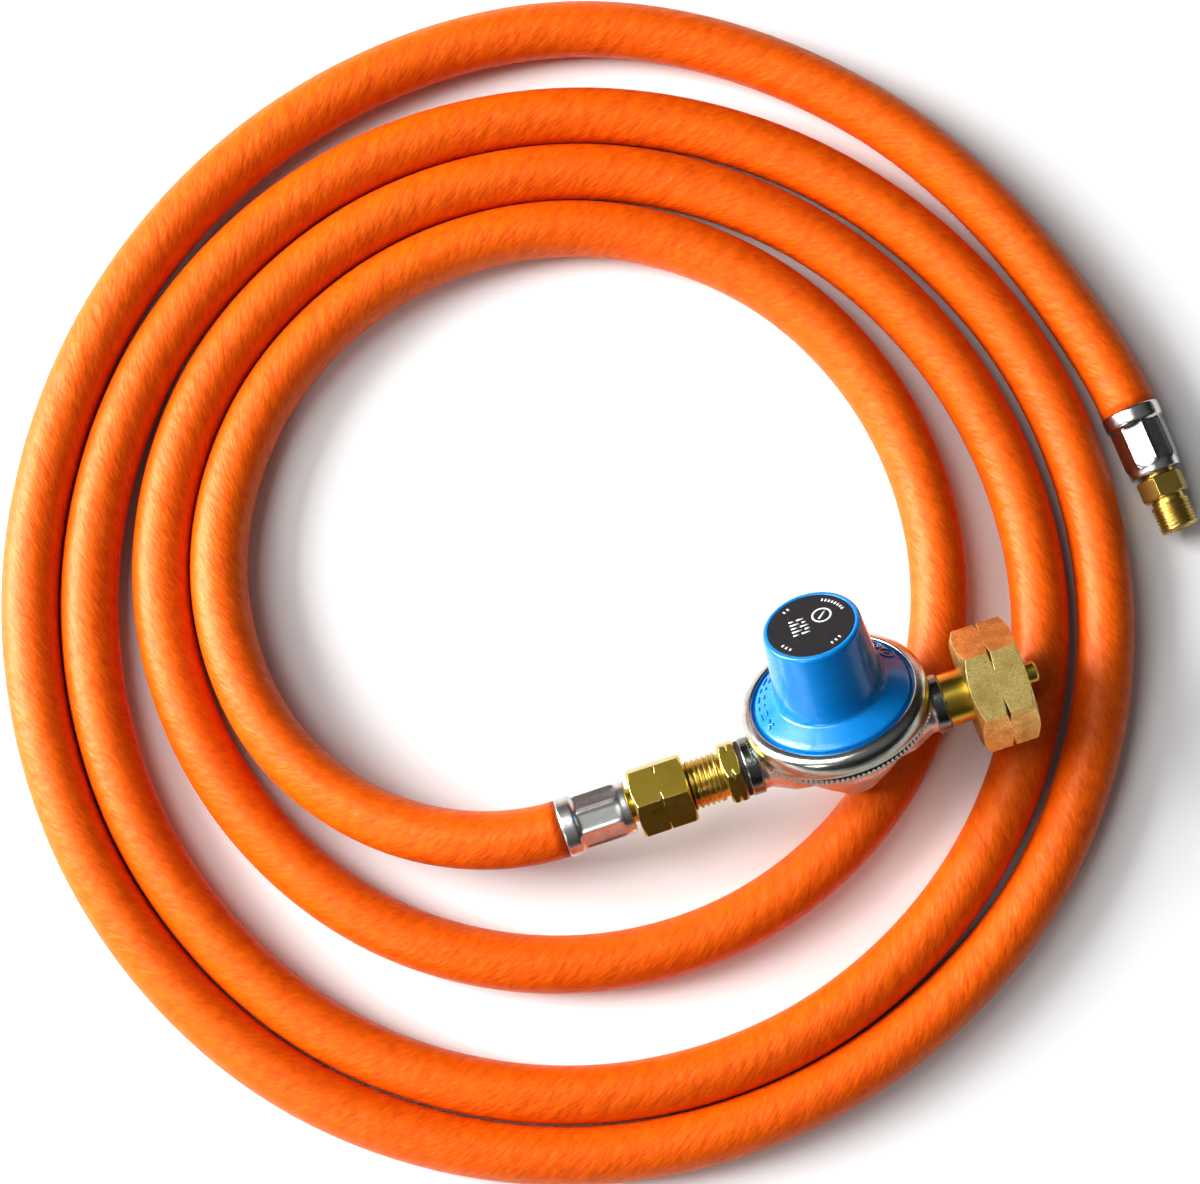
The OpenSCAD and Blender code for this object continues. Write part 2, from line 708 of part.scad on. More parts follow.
// One ferrule along x, from its hose end at 0. Its bore takes the squeezed hose.
module ferrule() {
    crimp_end = ferrule_len - ferrule_rim_len;
    difference() {
        union() {
            turned_on_x([
                [0, 0], [collar_d / 2 - 0.3, 0], [collar_d / 2, 0.4], [collar_d / 2, collar_len - 0.6],
                [crimp_af / 2, collar_len], [0, collar_len]
            ]);
            translate([collar_len, 0, 0]) rotate([0, 90, 0])
                cylinder(h = crimp_end - collar_len,
                         r = crimp_af / 2 / cos(180 / crimp_sides), $fn = crimp_sides);
            rod_on_x(crimp_end, ferrule_len, crimp_af / 2 + 0.1);
        }
        rod_on_x(-cut, ferrule_len - ferrule_lip, squeezed_r);
        rod_on_x(0, ferrule_len + cut, tail_neck_d / 2);
    }
}
// The stretch of the hose that a ferrule holds
module hose_cuff() {
    difference() {
        rod_on_x(0, ferrule_len - ferrule_lip, squeezed_r);
        rod_on_x(-cut, ferrule_len, hose_bore / 2);
    }
}

module ferrule_near() {
    color("lightgray") at_regulator() translate([ferrule_out, 0, 0]) ferrule();
}

module hose_cuff_near() {
    color("orangered") at_regulator() translate([ferrule_out, 0, 0]) hose_cuff();
}

module ferrule_far() {
    color("lightgray") at_end() ferrule();
}

module hose_cuff_far() {
    color("orangered") at_end() hose_cuff();
}

module end_fitting() {
    lip_start = ferrule_len - ferrule_lip;
    color("goldenrod") at_end() difference() {
        union() {
            turned_on_x([
                [0, 1], [hose_bore / 2 - 0.4, 1], [hose_bore / 2, 2], [hose_bore / 2, lip_start],
                [tail_neck_d / 2, lip_start], [tail_neck_d / 2, end_hex_start], [0, end_hex_start]
            ]);
            hexagon_on_x(end_hex_start, end_hex_end, end_af, end_hex_turn, 0);
            rod_on_x(end_hex_end, end_thread_start, end_relief_d / 2);
            rod_on_x(end_thread_start, end_tip, end_thread_d / 2);
        }
        rod_on_x(0, end_tip + cut, tail_bore_r);
    }
}

body_casting();
clamp_ring();
cover();
label_disc();
adjusting_screw();
main_spring();
diaphragm();
diaphragm_plate();
diaphragm_washer();
diaphragm_stem();
lever();
lever_pin();
valve_holder();
valve_pad();
orifice_nozzle();
inlet_stem();
inlet_nut();
inlet_seal();
inlet_filter();
outlet_washer();
outlet_adapter();
hose_nut();
hose_tail();
ferrule_near();
hose_cuff_near();
hose();
hose_cuff_far();
ferrule_far();
end_fitting();
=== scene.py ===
# %% [markdown]
# # A gas regulator with its hose
#
# The object is a small propane regulator with three metres of orange rubber hose, coiled flat on a
# pale surface. Its working parts come ready made, as a frame of exact pieces. This notebook gives
# each piece its finish, and makes again the ones whose fine shape matters: the hose, the crimped
# ferrules, the threads, the rolled band and the moulded cover.
#
# Blender works in metres, and so does everything here. Sizes are written in millimetres and
# multiplied by MM, because that is how fittings are sold.

# %% Load the frame
import bmesh
import bpy
from math import atan, atan2, cos, floor, hypot, pi, radians, sin, sqrt, tan
from mathutils import Matrix, Vector


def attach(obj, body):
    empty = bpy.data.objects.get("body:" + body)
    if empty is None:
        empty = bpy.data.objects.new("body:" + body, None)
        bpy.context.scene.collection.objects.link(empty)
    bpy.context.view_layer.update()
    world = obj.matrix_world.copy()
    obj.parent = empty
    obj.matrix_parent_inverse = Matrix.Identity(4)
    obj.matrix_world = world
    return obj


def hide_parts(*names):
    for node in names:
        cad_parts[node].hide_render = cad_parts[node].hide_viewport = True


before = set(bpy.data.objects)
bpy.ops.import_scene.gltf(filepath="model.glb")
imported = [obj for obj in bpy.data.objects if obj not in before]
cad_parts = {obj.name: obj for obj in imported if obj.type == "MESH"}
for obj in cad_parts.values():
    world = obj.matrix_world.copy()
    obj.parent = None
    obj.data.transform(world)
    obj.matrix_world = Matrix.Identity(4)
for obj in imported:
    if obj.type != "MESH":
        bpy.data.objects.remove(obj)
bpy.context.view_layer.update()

MM = 0.001
ROOT = "regulator_and_hose"

# %% [markdown]
# ## Camera
#
# The coil is seen from above, a little from its near side, with a long lens. A long lens from
# nearly a metre away keeps the turns of the hose round. The target is on the hose's own plane.

# %% Set up the camera
CAMERA_AT = Vector((-108, -56.7, 929.9)) * MM
CAMERA_TARGET = Vector((-49.7, 60.3, 8.1)) * MM
VIEW_TURN = radians(18.2)  # the view's upright, turned from the frame's +Y


def aim(place, target, upright):
    """A matrix that looks from a place to a target, with an upright direction."""
    back = (place - target).normalized()
    right = upright.cross(back).normalized()
    up = back.cross(right)
    turn = Matrix((right, up, back)).transposed().to_4x4()
    return Matrix.Translation(place) @ turn


lens = bpy.data.cameras.new("camera")
lens.lens = 100
lens.sensor_width = 36
camera = bpy.data.objects.new("camera", lens)
bpy.context.scene.collection.objects.link(camera)
view_up = Vector((sin(VIEW_TURN), cos(VIEW_TURN), 0))
camera.matrix_world = aim(CAMERA_AT, CAMERA_TARGET, view_up)
bpy.context.scene.camera = camera
print("camera:", round((CAMERA_AT - CAMERA_TARGET).length, 3), "m away")

# %% [markdown]
# ## Frames of reference
#
# The regulator rests on its hose, so its in-out axis rises a little and its spring tower leans
# over. Each of its pieces is shaped in the regulator's own axes, with x along the in-out axis and
# z up the tower, and is then placed once. The fitting on the free end has axes of its own.

# %% The two frames
CENTRE_H = 28.2
RISE = radians(5)
LEAN = radians(43)
REGULATOR = (
    Matrix.Translation((0, 0, CENTRE_H * MM))
    @ Matrix.Rotation(-RISE, 4, "Y")
    @ Matrix.Rotation(-LEAN, 4, "X")
)
ALONG_X = Matrix.Rotation(pi / 2, 4, "Y")  # turns a piece made along z to lie along x

COIL_CENTRE = Vector((-58, 61, 0))
COIL_ZERO = -18.2
END_ANGLE = -1061
END_RADIUS = 166.5
END_HEADING = radians(-86)
END_HEIGHT = 8.4


def polar_point(angle, radius, height):
    """A point about the coil's centre, in millimetres."""
    turn = radians(angle + COIL_ZERO)
    return COIL_CENTRE + Vector((radius * cos(turn), radius * sin(turn), height))


END_POINT = polar_point(END_ANGLE, END_RADIUS, END_HEIGHT)
END = Matrix.Translation(END_POINT * MM) @ Matrix.Rotation(END_HEADING, 4, "Z")
print("free end at", [round(c, 1) for c in END_POINT], "mm")

# %% [markdown]
# ## Shader expressions
#
# A procedural finish is arithmetic on numbers that change over a surface. Written as nodes that is
# slow to read, so a small class wraps a node's output and lets Python's own operators add the Math
# nodes: `1 - mask` or `noise * 0.2 + 0.4` then say what they mean.

# %% A class for shader arithmetic
class Field:
    """A number that changes over a surface."""

    def __init__(self, paint, socket):
        self.paint = paint
        self.socket = socket

    def math(self, operation, first, second, clamp=False):
        settings = {"operation": operation, "use_clamp": clamp}
        return self.paint.node("Math", settings, {0: first, 1: second})

    def __add__(self, other):
        return self.math("ADD", self, other)

    def __sub__(self, other):
        return self.math("SUBTRACT", self, other)

    def __mul__(self, other):
        return self.math("MULTIPLY", self, other)

    def __truediv__(self, other):
        return self.math("DIVIDE", self, other)

    def __rsub__(self, other):
        return self.math("SUBTRACT", other, self)

    def __rtruediv__(self, other):
        return self.math("DIVIDE", other, self)

    __radd__ = __add__
    __rmul__ = __mul__

    def clamped(self):
        return self.math("ADD", self, 0, clamp=True)

    def above(self, edge, soft):
        """0 below the edge and 1 above it, over a soft width."""
        return ((self - edge) / soft + 0.5).clamped()


EDGE_CONTRAST = 9  # how soon a rounded edge counts as worn


class Paint:
    """One material: a Principled shader and the nodes that feed it."""

    def __init__(self, name, **constants):
        self.material = bpy.data.materials.new(name)
        self.material.use_nodes = True
        self.tree = self.material.node_tree
        self.tree.nodes.clear()
        output = self.tree.nodes.new("ShaderNodeOutputMaterial")
        self.shader = self.tree.nodes.new("ShaderNodeBsdfPrincipled")
        self.tree.links.new(self.shader.outputs[0], output.inputs[0])
        for key, value in constants.items():
            self.shader.inputs[key.replace("_", " ")].default_value = value

    def node(self, kind, settings=None, values=None, output=0):
        """Adds a node: its settings first, then the values or links of its sockets."""
        made = self.tree.nodes.new("ShaderNode" + kind)
        for key, value in (settings or {}).items():
            setattr(made, key, value)
        for key, value in (values or {}).items():
            if isinstance(value, Field):
                self.tree.links.new(value.socket, made.inputs[key])
            else:
                made.inputs[key].default_value = value
        return Field(self, made.outputs[output])

    def feed(self, key, field):
        self.tree.links.new(field.socket, self.shader.inputs[key])

    def place(self):
        """The surface's own place in the object, in metres."""
        return self.node("TexCoord", output="Object")

    def place_in(self, matrix):
        """The place in the regulator's or the end fitting's own axes."""
        where, turn, _ = matrix.decompose()
        return self.node(
            "Mapping",
            {"vector_type": "TEXTURE"},
            {"Vector": self.place(), "Location": where, "Rotation": turn.to_euler()},
        )

    def axis(self, vector, index):
        return self.node("SeparateXYZ", None, {0: vector}, output=index)

    def stretched(self, vector, scale):
        return self.node("Mapping", None, {"Vector": vector, "Scale": scale})

    def noise(self, vector, size, detail=2.0, roughness=0.5):
        """Noise whose features are about `size` millimetres."""
        values = {"Vector": vector, "Scale": 1 / (size * MM)}
        return self.node("TexNoise", None, {**values, "Detail": detail, "Roughness": roughness})

    def mix(self, mask, first, second):
        """From one colour to another as a mask goes from 0 to 1."""
        colours = [c if isinstance(c, Field) else (*c, 1) for c in (first, second)]
        return self.node(
            "Mix",
            {"data_type": "RGBA", "clamp_factor": True},
            {0: mask, 6: colours[0], 7: colours[1]},
            output=2,
        )

    def bump(self, height, depth, normal=None):
        """A bump `depth` millimetres deep where the height goes from 0 to 1."""
        values = {"Strength": 1.0, "Distance": depth * MM, "Height": height}
        if normal is not None:
            values["Normal"] = normal
        return self.node("Bump", None, values)

    def rounded(self, radius):
        """The normal as if every edge were rounded off by a radius in millimetres."""
        return self.node("Bevel", {"samples": 6}, {"Radius": radius * MM})

    def edges(self, rounded):
        """1 on worn edges and 0 on flats."""
        true = self.node("NewGeometry", output="True Normal")
        dot = {"operation": "DOT_PRODUCT"}
        along = self.node("VectorMath", dot, {0: rounded, 1: true}, output="Value")
        return ((1 - along) * EDGE_CONTRAST).clamped()


print("shader class ready")

# %% [markdown]
# ## Orange rubber
#
# The hose is cured in a cloth wrap, which leaves a fine slanted grain in its skin. The grain
# follows the hose, so it is drawn on the hose's own map: along it and round it, in metres. Slanted
# short strokes come from noise on a map that is turned and stretched. The skin is matt with a soft
# sheen, and the orange drifts a little between turns.

# %% The hose's rubber
def slanted(paint, vector, angle, stretch):
    """The map turned by an angle and drawn out, so that its features become slanted strokes."""
    turned = {"Vector": vector, "Rotation": (0, 0, radians(angle))}
    return paint.stretched(paint.node("Mapping", None, turned), (1 / stretch, 1, 1))


def orange_rubber(name, mapped):
    paint = Paint(name, Specular_IOR_Level=0.5, Specular_Tint=(1, 0.8, 0.58, 1))
    vector = paint.node("UVMap", {"uv_map": "skin"}) if mapped else paint.place()
    strokes = paint.noise(slanted(paint, vector, 38, 3), 0.9, detail=2, roughness=0.5)
    dents = paint.noise(slanted(paint, vector, 52, 2), 3.4, detail=1)
    swell = paint.noise(paint.place(), 9, detail=2)
    drift = paint.noise(paint.place(), 60, detail=1)
    grain = strokes * 0.6 + dents * 0.4
    warm = paint.mix(drift.above(0.5, 0.5), (0.76, 0.115, 0.001), (0.82, 0.14, 0.001))
    shaded = paint.mix(grain.above(0.45, 0.35), (0.62, 0.075, 0.001), warm)
    specks = paint.noise(vector, 0.7, detail=1).above(0.8, 0.03)
    paint.feed("Base Color", paint.mix(specks * 0.5, shaded, (0.3, 0.045, 0.004)))
    paint.feed("Roughness", 0.56 - grain * 0.2)
    paint.feed("Normal", paint.bump(strokes * 0.5 + dents + swell * 0.8, 0.3))
    return paint.material


HOSE_RUBBER = orange_rubber("orange_rubber", True)
CUFF_RUBBER = orange_rubber("orange_rubber_cuff", False)
print("made", HOSE_RUBBER.name, "and", CUFF_RUBBER.name)

# %% [markdown]
# ## The hose
#
# It is one length of tube, so it follows one smooth curve: the same chosen points that the frame's
# plain tube follows, joined by a curve that bends least where it bends at all. A round tube is
# swept along that curve as a mesh, because the rubber's grain needs a map that follows the hose in
# real lengths.

# %% The hose's route
HOSE_D = 16
FALLING = [(77, 18.4), (89.5, 13.8), (97.5, 10.4), (102, 8.6)]
FIRST_TURN = [104.5, 106, 105.5, 104, 103, 102, 101, 101.5]
SECOND_TURN = [104.5, 108.5, 114, 118.5, 121, 122.5, 124, 126.5, 131, 134, 136, 137]
THIRD_TURN = [137, 135, 134, 135.5, 137.5, 139, 141.5, 145.5, 149.5, 152, 152.5, 153.5]
LAST_TURN = [153.5, 151.5, 150.5, 152.5, 158, 164.5, 164, 164]
ON_FLOOR = [(radius, HOSE_D / 2) for radius in FIRST_TURN + SECOND_TURN + THIRD_TURN + LAST_TURN]
FERRULE_OUT = -81.0  # the near ferrule's hose end, along the regulator's axis
FIRST_ANGLE = 240
ANGLE_STEP = 30

exit_point = (REGULATOR @ Vector((FERRULE_OUT * MM, 0, 0))) / MM
exit_way = Vector((-cos(RISE), 0, -sin(RISE)))
end_way = Vector((cos(END_HEADING), sin(END_HEADING), 0))
route = [exit_point]
for k, (radius, height) in enumerate(FALLING + ON_FLOOR):
    route.append(polar_point(FIRST_ANGLE - ANGLE_STEP * k, radius, height))
route.append(END_POINT)


def way(i):
    """The direction of the hose at one of the route's points."""
    if i == 0:
        return exit_way
    if i == len(route) - 1:
        return end_way
    before = route[i] - route[i - 1]
    after = route[i + 1] - route[i]
    ratio = after.length / before.length
    return (before * ratio + after / ratio).normalized()


def on_route(u):
    """A point of the smooth curve, where u counts the route's points."""
    i = min(floor(u), len(route) - 2)
    t = u - i
    span = (route[i + 1] - route[i]).length
    point = (
        route[i] * ((1 + 2 * t) * (1 - t) ** 2)
        + way(i) * (t * (1 - t) ** 2 * span)
        + route[i + 1] * (t * t * (3 - 2 * t))
        + way(i + 1) * (t * t * (t - 1) * span)
    )
    point.z = max(point.z, HOSE_D / 2)
    return point


STEPS = 14  # steps between two of the route's points
centreline = [on_route(k / STEPS) * MM for k in range((len(route) - 1) * STEPS + 1)]
hose_length = sum((b - a).length for a, b in zip(centreline, centreline[1:]))
print("hose:", round(hose_length, 3), "m along its middle")

# %% Sweep the hose
def link(name, mesh, material):
    made = bpy.data.objects.new(name, mesh)
    bpy.context.scene.collection.objects.link(made)
    mesh.materials.append(material)
    return made


def swept(points, radius, sides):
    """A tube along points, with a map along and round it in metres."""
    bm = bmesh.new()
    skin = bm.loops.layers.uv.new("skin")
    ahead = (points[1] - points[0]).normalized()
    ring = bmesh.ops.create_circle(bm, segments=sides, radius=radius)["verts"]
    side = ahead.cross(Vector((0, 0, 1))).normalized()
    up = side.cross(ahead)
    stand = Matrix((side, up, -ahead)).transposed().to_4x4()
    bmesh.ops.transform(bm, matrix=Matrix.Translation(points[0]) @ stand, verts=ring)
    edges = list(bm.edges)
    run = 0.0
    for k in range(1, len(points)):
        before = (points[k] - points[k - 1]).normalized()
        after = (points[min(k + 1, len(points) - 1)] - points[k]).normalized()
        if after.length == 0:
            after = before
        half = (before + after).normalized()
        new = bmesh.ops.extrude_edge_only(bm, edges=edges)["geom"]
        edges = [g for g in new if isinstance(g, bmesh.types.BMEdge)]
        verts = [g for g in new if isinstance(g, bmesh.types.BMVert)]
        middle = sum((v.co for v in verts), Vector()) / sides
        turn = ahead.rotation_difference(half).to_matrix().to_4x4()
        move = Matrix.Translation(points[k]) @ turn @ Matrix.Translation(-middle)
        bmesh.ops.transform(bm, matrix=move, verts=verts)
        length = (points[k] - points[k - 1]).length
        level = set(verts)
        for face in (g for g in new if isinstance(g, bmesh.types.BMFace)):
            face.smooth = True
            for loop in face.loops:
                flat = loop.vert.co - (points[k] if loop.vert in level else points[k - 1])
                angle = atan2(flat.dot(half.cross(Vector((0, 0, 1))).normalized()), flat.z)
                loop[skin].uv = (run + (length if loop.vert in level else 0), angle * radius)
            around = [loop[skin].uv.y for loop in face.loops]
            if max(around) - min(around) > pi * radius:
                for loop in face.loops:
                    if loop[skin].uv.y < 0:
                        loop[skin].uv.y += 2 * pi * radius
        run += length
        ahead = half
    bmesh.ops.contextual_create(bm, geom=edges)
    first = [e for e in bm.edges if e.is_boundary]
    bmesh.ops.contextual_create(bm, geom=first)
    bmesh.ops.recalc_face_normals(bm, faces=bm.faces)
    mesh = bpy.data.meshes.new("tube")
    bm.to_mesh(mesh)
    bm.free()
    return mesh


HOSE_SIDES = 32
hose = link("hose_tube", swept(centreline, HOSE_D / 2 * MM, HOSE_SIDES), HOSE_RUBBER)
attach(hose, ROOT)
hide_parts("hose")
print("hose:", len(hose.data.polygons), "faces")

# %% [markdown]
# ## Brass, steel, zinc and plastic
#
# Turned brass keeps fine rings from the tool and dulls unevenly. The large nut is forged and only
# its flats are milled, so they are grainy and bright. Ferrules and the band are plated steel. The
# casting is tumbled zinc. The cover is moulded and glossy, with a slight unevenness in its skin.

# %% Metals
def brass(name, matrix, grain=0.3, tone=(0.80, 0.585, 0.2), dull=(0.42, 0.29, 0.07)):
    paint = Paint(name, Metallic=1.0)
    local = paint.place_in(matrix)
    rings = paint.noise(paint.stretched(local, (9, 0.4, 0.4)), 1.6, detail=3)
    cloud = paint.noise(local, 5, detail=3, roughness=0.6)
    sparkle = paint.noise(local, 0.42, detail=2, roughness=0.7)
    soft = paint.rounded(0.25)
    worn = paint.edges(soft)
    colour = paint.mix(cloud.above(0.56, 0.3) * 0.75, tone, dull)
    colour = paint.mix(sparkle.above(0.58, 0.2) * grain, colour, dull)
    paint.feed("Base Color", paint.mix(worn * 0.8, colour, (0.95, 0.8, 0.45)))
    paint.feed("Roughness", (cloud * 0.16 + sparkle * grain * 0.3 + 0.2 - worn * 0.08))
    height = rings * 0.5 + sparkle * grain * 2
    paint.feed("Normal", paint.bump(height, 0.03, soft))
    return paint.material


def plated(
    name,
    matrix,
    tone=(0.7, 0.7, 0.68),
    rough=0.15,
    lines=(0.25, 4, 4),
    depth=0.6,
    foot=None,
):
    paint = Paint(name, Metallic=1.0)
    local = paint.place_in(matrix)
    smear = paint.noise(local, 4, detail=3, roughness=0.6)
    drawn = paint.noise(paint.stretched(local, lines), 1.2, detail=2)
    spots = paint.noise(local, 1.1, detail=2).above(0.7, 0.08)
    soft = paint.rounded(0.2)
    worn = paint.edges(soft)
    shade = tuple(0.62 * c for c in tone)
    colour = paint.mix(smear.above(0.55, 0.35) * 0.6, tone, shade)
    colour = paint.mix(spots * 0.35, colour, (0.3, 0.28, 0.25))
    # Below the foot height the colour is painted darker: a painted dark reflection on the lower
    # wall.
    if foot:
        low = 1 - paint.axis(local, 2).above(foot * MM, 2 * MM)
        colour = paint.mix(low * 0.6, colour, (0.2, 0.22, 0.18))
    paint.feed("Base Color", paint.mix(worn * 0.6, colour, (0.88, 0.88, 0.87)))
    paint.feed("Roughness", smear * 0.16 + rough)
    paint.feed("Normal", paint.bump(drawn * depth + smear, 0.04, soft))
    return paint.material


COLLAR_FROM = 24.5  # where the turned collars of the two bosses begin


def cast_zinc(name):
    paint = Paint(name, Metallic=1.0)
    local = paint.place_in(REGULATOR)
    skin = paint.noise(local, 0.9, detail=3, roughness=0.6)
    cloud = paint.noise(local, 6, detail=3)
    soft = paint.rounded(0.6)
    worn = paint.edges(soft)
    reach = paint.node("Math", {"operation": "ABSOLUTE"}, {0: paint.axis(local, 0)})
    turned = reach.above((COLLAR_FROM + 0.3) * MM, 0.1 * MM)
    colour = paint.mix(cloud.above(0.5, 0.4), (0.5, 0.45, 0.42), (0.66, 0.6, 0.56))
    # The turned collars are painted dark green-grey: a painted dark reflection. Their lower
    # roughness is real.
    colour = paint.mix(turned, colour, (0.2, 0.22, 0.2))
    paint.feed("Base Color", paint.mix(worn * 0.5, colour, (0.8, 0.76, 0.73)))
    paint.feed("Roughness", skin * 0.2 + cloud * 0.1 + 0.2 - turned * 0.12)
    paint.feed("Normal", paint.bump(skin + cloud * 2, 0.07, soft))
    return paint.material


INLET_BRASS = brass("inlet_brass", REGULATOR, grain=1.0, tone=(0.84, 0.66, 0.26))
OUTLET_BRASS = brass("outlet_brass", REGULATOR, grain=0.2, tone=(0.62, 0.46, 0.07))
END_BRASS = brass("end_brass", END, grain=0.25, tone=(0.62, 0.46, 0.12))
NEAR_STEEL = plated("near_ferrule_steel", REGULATOR, rough=0.24)
FAR_STEEL = plated("far_ferrule_steel", END)
# Through foot, the band's wall below 12.5 mm gets a painted dark reflection.
BAND_STEEL = plated(
    "band_steel",
    REGULATOR,
    tone=(0.6, 0.61, 0.56),
    rough=0.16,
    lines=(1, 1, 1),
    depth=0.3,
    foot=12.5,
)
INNER_STEEL = plated("inner_steel", REGULATOR, tone=(0.6, 0.6, 0.62), rough=0.28)
ZINC = cast_zinc("cast_zinc")
print("metals:", sum(m.name.endswith(("brass", "steel", "zinc")) for m in bpy.data.materials))

# %% Plastics and rubbers
def moulded(name, colour, shade, rough, size=3.0, depth=0.03, coat=0.0):
    paint = Paint(name, Coat_Weight=coat, Coat_Roughness=0.06, Specular_IOR_Level=0.5)
    local = paint.place_in(REGULATOR)
    skin = paint.noise(local, 0.5, detail=2)
    waves = paint.noise(local, size, detail=2)
    dust = paint.noise(local, 0.7, detail=1).above(0.78, 0.03)
    soft = paint.rounded(0.2)
    base = paint.mix(waves.above(0.5, 0.6), colour, shade)
    paint.feed("Base Color", paint.mix(dust * 0.3, base, (0.5, 0.6, 0.7)))
    paint.feed("Roughness", skin * 0.08 + waves * 0.08 + rough)
    paint.feed("Normal", paint.bump(waves + skin * 0.25, depth, soft))
    return paint.material


BLUE = moulded("blue_plastic", (0.0, 0.21, 0.56), (0.0, 0.18, 0.5), 0.2, coat=0.4)
LABEL_BLACK = moulded(
    "black_label", (0.01, 0.012, 0.014), (0.014, 0.015, 0.018), 0.3, size=1.5, depth=0.015
)
MARK_WHITE = moulded(
    "label_white", (0.72, 0.74, 0.74), (0.6, 0.62, 0.62), 0.45, size=1.0, depth=0.01
)
PLAIN_PLASTIC = moulded("plain_plastic", (0.6, 0.56, 0.4), (0.52, 0.48, 0.34), 0.4)
BLACK_RUBBER = moulded(
    "black_rubber", (0.02, 0.02, 0.02), (0.03, 0.03, 0.03), 0.6, size=1.2, depth=0.05
)
DARK_FIBRE = moulded(
    "dark_fibre", (0.05, 0.035, 0.03), (0.03, 0.02, 0.018), 0.7, size=0.8, depth=0.06
)
print("materials so far:", len(bpy.data.materials))

# %% [markdown]
# ## Finishes for the pieces of the frame
#
# Most pieces of the frame have their true shape already and only need a finish. The ones that
# close up inside the regulator get theirs too, because the part can be taken apart.

# %% Paint the frame's pieces
FINISHES = {
    ZINC: ["body_casting"],
    INLET_BRASS: ["inlet_nut"],
    OUTLET_BRASS: [
        "inlet_stem", "orifice_nozzle", "inlet_filter", "hose_nut", "hose_tail", "valve_holder",
        "diaphragm_stem",
    ],
    INNER_STEEL: ["main_spring", "diaphragm_plate", "diaphragm_washer", "lever", "lever_pin"],
    BLACK_RUBBER: ["diaphragm", "valve_pad", "inlet_seal"],
    PLAIN_PLASTIC: ["adjusting_screw"],
    LABEL_BLACK: ["label_disc"],
    DARK_FIBRE: ["outlet_washer"],
    CUFF_RUBBER: ["hose_cuff_near", "hose_cuff_far"],
}
for finish, nodes in FINISHES.items():
    for node in nodes:
        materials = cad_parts[node].data.materials
        materials.clear()
        materials.append(finish)
print("painted:", sum(len(nodes) for nodes in FINISHES.values()), "pieces of the frame")

# %% [markdown]
# ## Turned pieces
#
# A band, a cover or a threaded fitting is turned: a half outline goes once round an axis. The
# outline is a list of radius and height, softened at its corners by short arcs, and a spin with its
# ends merged closes it. Teeth, crimps and threads are then pressed in by moving the spun points,
# which is how a roller or a die does it.

# %% Helpers for turned pieces
MERGED = 0.0005  # points nearer than this, in millimetres, become one
SHARP = radians(25)  # an edge that bends more than this stays crisp


def softened(outline, radius, steps=3):
    """The outline with each corner cut by a short curve, as [radius, height] in millimetres."""
    made = []
    count = len(outline)
    for i in range(count):
        before, corner, after = (Vector(outline[(i + k) % count]) for k in (-1, 0, 1))
        reach_in = min(radius, (before - corner).length * 0.45)
        reach_out = min(radius, (after - corner).length * 0.45)
        if corner.x < 0.01 or reach_in < 0.02:
            made.append(corner)
            continue
        start = corner + (before - corner).normalized() * reach_in
        end = corner + (after - corner).normalized() * reach_out
        for k in range(steps + 1):
            t = k / steps
            made.append(start * (1 - t) ** 2 + corner * (2 * t * (1 - t)) + end * t**2)
    return made


def divided(outline, step):
    """The outline with points added so that none are further apart than a step."""
    made = []
    for a, b in zip(outline, list(outline[1:]) + [outline[0]]):
        a, b = Vector(a), Vector(b)
        pieces = max(1, round((b - a).length / step))
        made += [a.lerp(b, k / pieces) for k in range(pieces)]
    return made


def spun(outline, segments, press=None):
    """Spins a closed outline about z. press moves each point by its radius, height and angle."""
    bm = bmesh.new()
    verts = [bm.verts.new((p[0], 0, p[1])) for p in outline]
    edges = [bm.edges.new((a, b)) for a, b in zip(verts, verts[1:] + verts[:1])]
    bmesh.ops.spin(
        bm,
        geom=verts + edges,
        cent=(0, 0, 0),
        axis=(0, 0, 1),
        angle=2 * pi,
        steps=segments,
        use_merge=True,
    )
    bmesh.ops.remove_doubles(bm, verts=bm.verts, dist=MERGED)
    if press:
        for v in bm.verts:
            r = hypot(v.co.x, v.co.y)
            angle = Vector((v.co.x, v.co.y)).angle_signed(Vector((1, 0)), 0) if r > 1e-6 else 0
            new_r, new_z = press(r, v.co.z, angle)
            if r > 1e-6:
                v.co.x *= new_r / r
                v.co.y *= new_r / r
            v.co.z = new_z
        bmesh.ops.remove_doubles(bm, verts=bm.verts, dist=MERGED)
    bmesh.ops.recalc_face_normals(bm, faces=bm.faces)
    return bm


def finished(bm, name, matrix, material, body, node=None):
    """Places a piece made in millimetres and gives it its finish and its body."""
    bmesh.ops.transform(bm, matrix=matrix @ Matrix.Scale(MM, 4), verts=bm.verts)
    for edge in bm.edges:
        if len(edge.link_faces) == 2 and edge.calc_face_angle(0) > SHARP:
            edge.smooth = False
    for face in bm.faces:
        face.smooth = True
    mesh = bpy.data.meshes.new(name)
    bm.to_mesh(mesh)
    bm.free()
    made = link(name, mesh, material)
    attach(made, body)
    if node:
        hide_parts(node)
    print(name + ":", len(mesh.polygons), "faces")
    return made


# %% [markdown]
# ## Ferrules
#
# A ferrule starts as a plain steel cup. A press with eight jaws squeezes it on the hose: the end by
# the hose stays round as a collar, and the rest gets flats whose ends are rounded by the jaws. So
# it is spun round, and its points are then pulled in towards an eight-sided shape, most in the
# middle of the crimp and not at all at the collar and the rim.

# %% Ferrules
FERRULE_LEN = 19.5
COLLAR_R = 8.4
COLLAR_LEN = 5
CRIMP_R = 7.2
RIM_LEN = 2
RIM_R = 7.3
INSIDE_R = 6.4
NECK_R = 4.8
LIP = 1.2
JAWS = 8


def ease(low, high, value):
    """0 to 1 from low to high, with soft ends."""
    t = min(1, max(0, (value - low) / (high - low)))
    return t * t * (3 - 2 * t)


